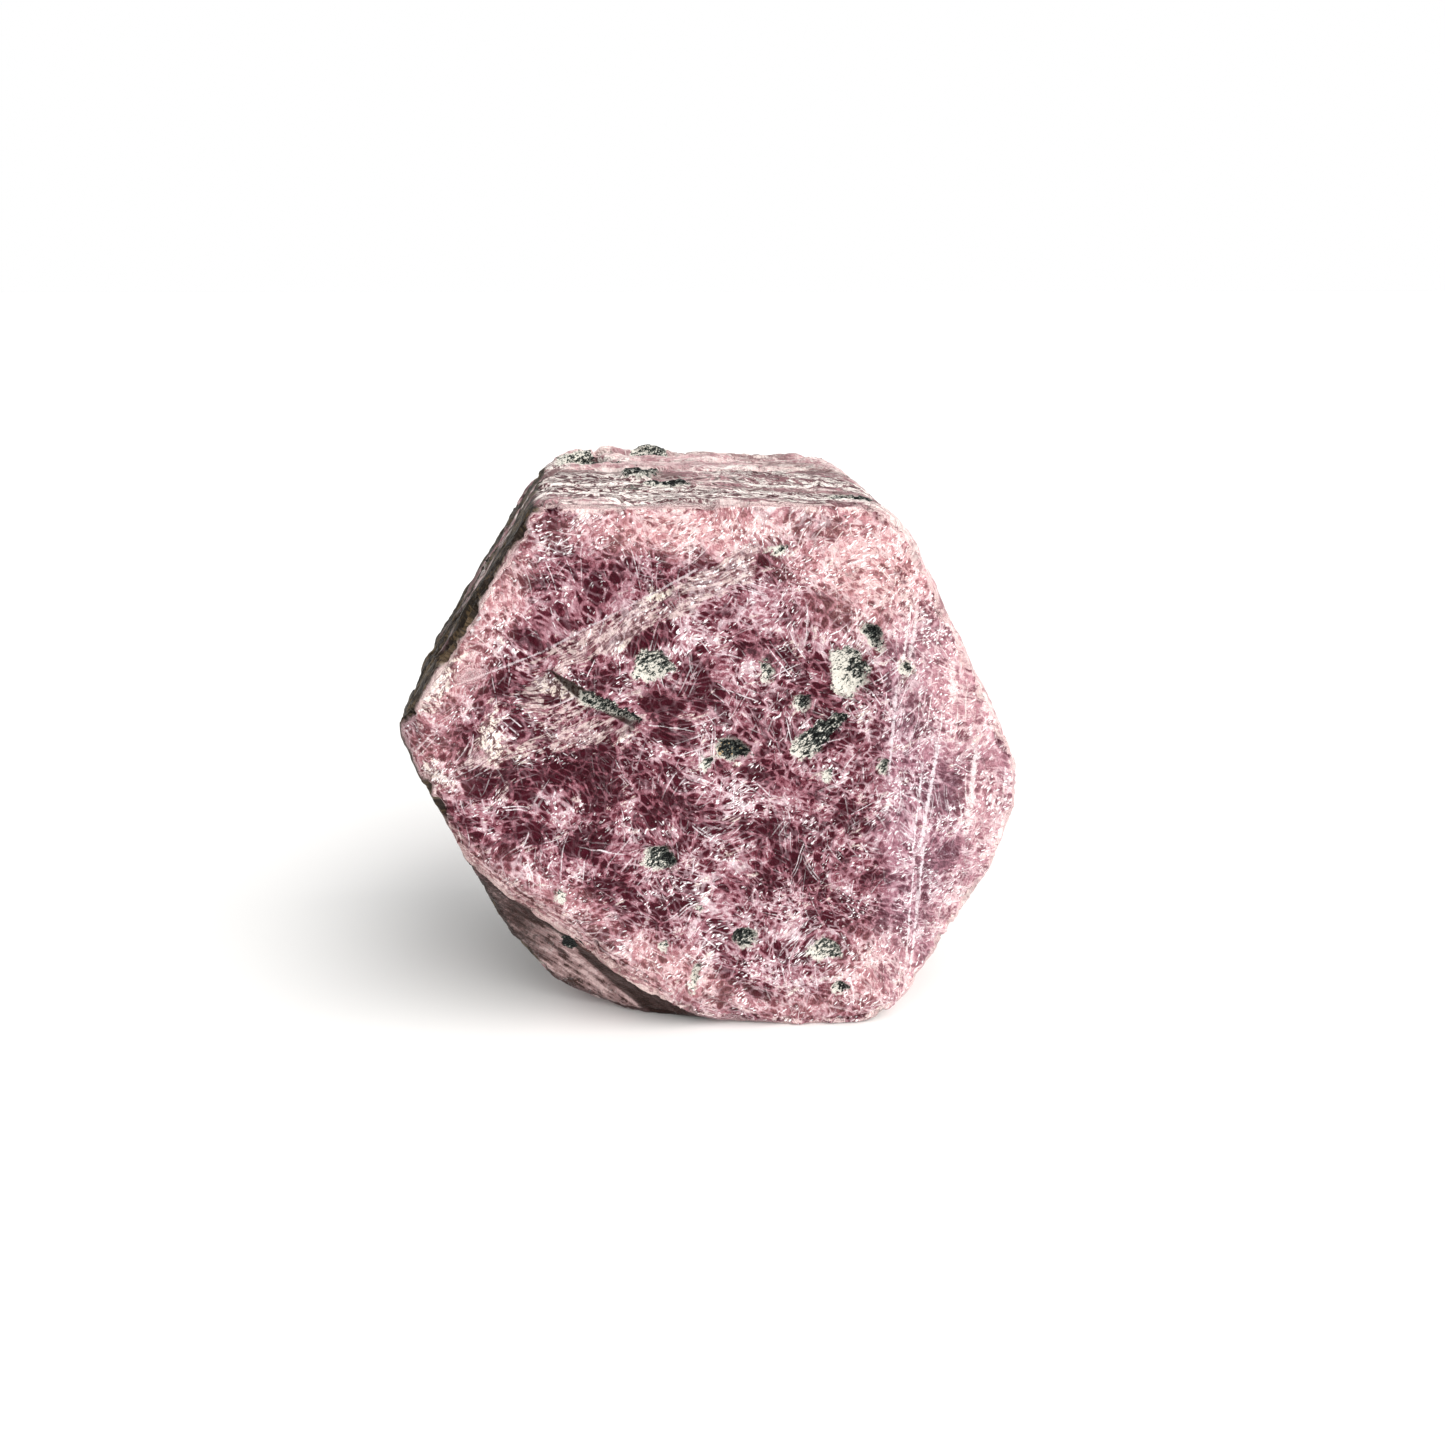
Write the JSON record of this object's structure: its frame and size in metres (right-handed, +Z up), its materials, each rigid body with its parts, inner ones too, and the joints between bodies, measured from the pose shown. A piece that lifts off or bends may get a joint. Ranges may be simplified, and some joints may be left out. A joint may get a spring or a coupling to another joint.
{
  "type": "rough ruby crystal",
  "caption": "Rough hexagonal ruby crystal, short and stout, with stepped prism faces, dark mica grains and a broken corner; stands on a prism face for display.",
  "frame": {"origin": "centre of the crystal's box in plan, on the surface it stands on", "axes": "+Z up, out of the prism face it stands on; -Y out of the large front basal face; +X to the right as the front face is looked at, along the greatest width from corner to corner"},
  "size_m": [0.0412, 0.0262, 0.0376],
  "materials": {
    "ruby": "natural crystal, dark maroon under a web of pale pink and white fibres, with black mica grains; mostly satin, glassy in places"
  },
  "bodies": {
    "root": {"ruby_crystal": "ruby"}
  },
  "joints": []
}
